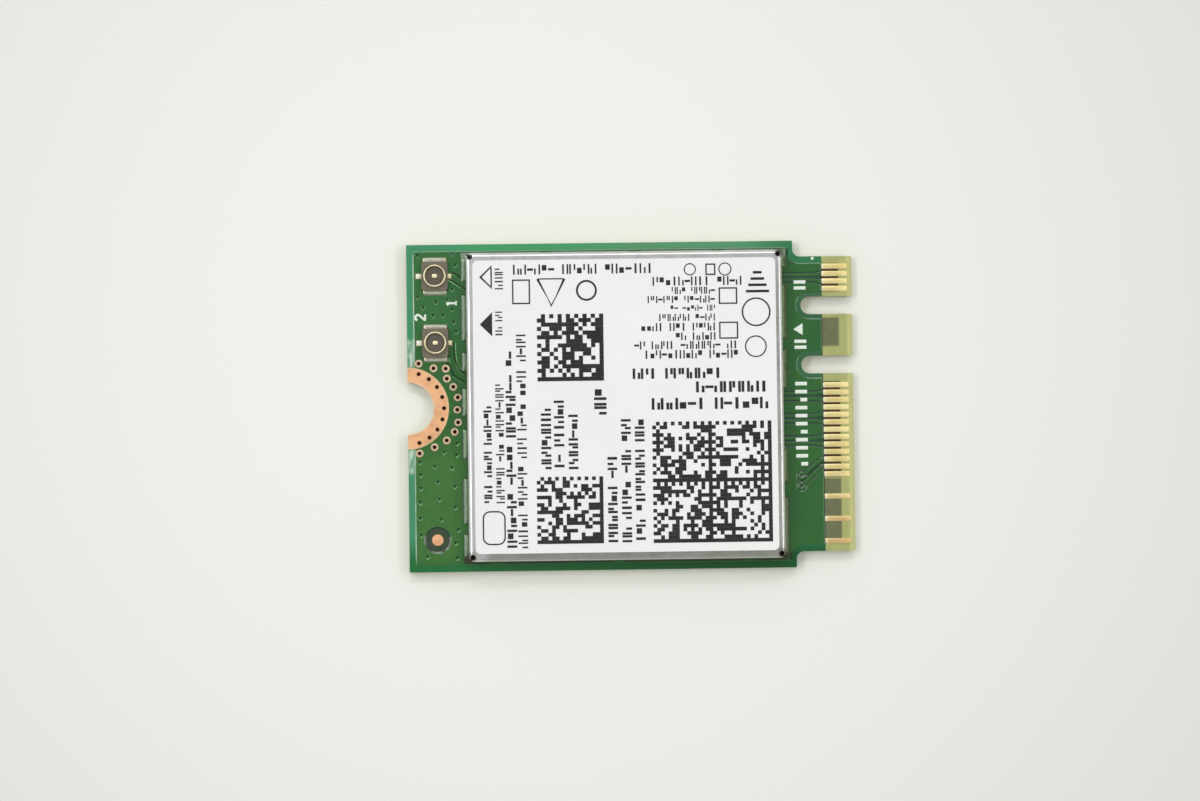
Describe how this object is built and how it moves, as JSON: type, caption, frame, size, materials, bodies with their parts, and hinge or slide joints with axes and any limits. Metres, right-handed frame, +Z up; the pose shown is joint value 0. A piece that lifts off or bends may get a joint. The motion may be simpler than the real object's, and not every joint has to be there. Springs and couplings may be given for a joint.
{
  "type": "laptop wifi card",
  "caption": "Laptop radio card: keyed edge-contact board with a half-round screw notch, push-on antenna ports and a labelled sheet-metal shield.",
  "frame": {"origin": "middle of the board's outline, on the plane that the card's underside lies on", "axes": "+X along the board from the screw notch toward the edge contacts, +Y across the board toward the first antenna port, +Z up out of the face that carries the shield"},
  "size_m": [0.03, 0.022, 0.0023],
  "materials": {
    "laminate": "bare glass-epoxy laminate, slightly translucent",
    "lacquer": "green solder lacquer, satin gloss",
    "gold": "gold-plated copper, satin",
    "copper": "bare copper with a clear coat, matt",
    "plating": "plated copper holes with pale rims",
    "solder": "tinned lands, softly shining",
    "marking": "white printed ink on the board",
    "port_plastic": "grey-brown moulded plastic",
    "port_metal": "pale gold-plated brass",
    "port_contact": "bright pale gold plating",
    "shield_sheet": "folded nickel-silver sheet, satin",
    "label_paper": "white coated label, matt",
    "label_ink": "dark grey print",
    "chip_mould": "black moulding compound",
    "part_ceramic": "fired ceramic",
    "part_ferrite": "dark ferrite",
    "part_ends": "tinned ends",
    "crystal_metal": "plated metal cap"
  },
  "bodies": {
    "root": {"circuit_board": "laminate", "solder_mask_top": "lacquer", "solder_mask_bottom": "lacquer", "top_edge_contacts": "gold", "bottom_edge_contacts": "gold", "screw_ring_top": "copper", "screw_ring_bottom": "copper", "ring_via_sleeves": "plating", "stitch_via_sleeves": "plating", "fiducial_dot": "copper", "test_pads": "gold", "shield_lands": "solder", "port_lands": "solder", "silk_marks": "marking", "port_1_base": "port_plastic", "port_1_shell": "port_metal", "port_1_pin": "port_contact", "port_2_base": "port_plastic", "port_2_shell": "port_metal", "port_2_pin": "port_contact", "shield_frame": "shield_sheet", "shield_lid": "shield_sheet", "label": "label_paper", "label_print": "label_ink", "radio_chip": "chip_mould", "radio_chip_lands": "part_ends", "amplifier_low_band": "chip_mould", "amplifier_high_band": "chip_mould", "amplifier_lands": "part_ends", "band_filters": "part_ceramic", "band_filter_ends": "part_ends", "crystal_base": "part_ceramic", "crystal_cap": "crystal_metal", "power_chip": "chip_mould", "power_chip_lands": "part_ends", "power_coils": "part_ferrite", "power_coil_ends": "part_ends", "memory_chip": "chip_mould", "memory_chip_lands": "part_ends", "bypass_capacitors": "part_ceramic", "bypass_capacitor_ends": "part_ends", "supply_capacitors": "part_ceramic", "supply_capacitor_ends": "part_ends", "resistors": "part_ferrite", "resistor_ends": "part_ends"}
  },
  "joints": []
}
